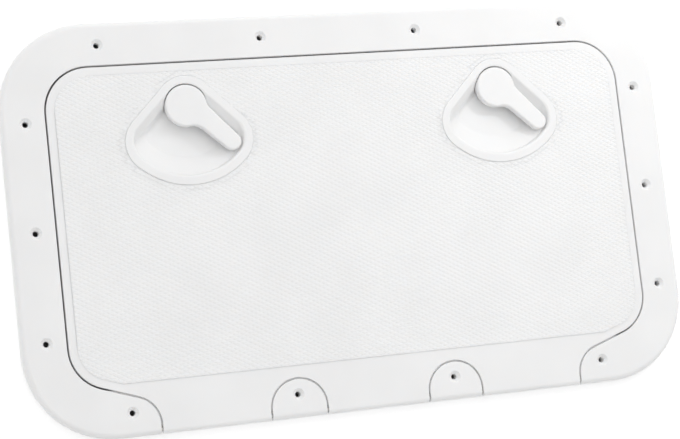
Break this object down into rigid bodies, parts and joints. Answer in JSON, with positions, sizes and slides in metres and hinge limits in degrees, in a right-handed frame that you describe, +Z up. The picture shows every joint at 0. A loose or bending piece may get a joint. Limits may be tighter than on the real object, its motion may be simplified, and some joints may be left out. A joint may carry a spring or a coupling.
{
  "type": "inspection hatch",
  "caption": "Flush deck inspection hatch: a hinged non-slip lid with two turning latch levers in finger recesses, in a gutter frame for a deck cut-out",
  "frame": {"origin": "middle of the hatch on the deck plane, which is the underside of the flange", "axes": "+X along the long side, +Y from the hinge towards the latches, +Z up out of the deck"},
  "size_m": [0.606, 0.353, 0.0402],
  "materials": {
    "white_plastic": "satin moulded ASA",
    "lever_plastic": "smooth moulded ASA",
    "seal_rubber": "matt EPDM",
    "bearing_plastic": "moulded acetal",
    "stainless": "bright stainless"
  },
  "bodies": {
    "frame": {"frame": "white_plastic", "hinge_pin_left_ear": "stainless", "hinge_pin_left_tab": "stainless", "hinge_pin_right_tab": "stainless", "hinge_pin_right_ear": "stainless"},
    "lid": {"lid": "white_plastic", "lid_seal": "seal_rubber", "latch_bush_left": "bearing_plastic", "latch_nut_left": "bearing_plastic", "latch_bush_right": "bearing_plastic", "latch_nut_right": "bearing_plastic"},
    "latch_left": {"latch_lever_left": "lever_plastic", "latch_spindle_left": "stainless", "latch_o_ring_left": "seal_rubber", "latch_cam_left": "stainless", "latch_washer_left": "stainless", "latch_screw_left": "stainless"},
    "latch_right": {"latch_lever_right": "lever_plastic", "latch_spindle_right": "stainless", "latch_o_ring_right": "seal_rubber", "latch_cam_right": "stainless", "latch_washer_right": "stainless", "latch_screw_right": "stainless"}
  },
  "joints": [
    {"name": "lid_hinge", "type": "hinge", "parent": "frame", "child": "lid", "pos_m": [0, -0.1723, 0.0048], "axis": [1, 0, 0], "range_deg": [0, 175]},
    {"name": "latch_left_turn", "type": "hinge", "parent": "lid", "child": "latch_left", "pos_m": [-0.144, 0.1, 0], "axis": [0, 0, 1], "range_deg": [-94, 0]},
    {"name": "latch_right_turn", "type": "hinge", "parent": "lid", "child": "latch_right", "pos_m": [0.144, 0.1, 0], "axis": [0, 0, 1], "range_deg": [-94, 0]}
  ]
}
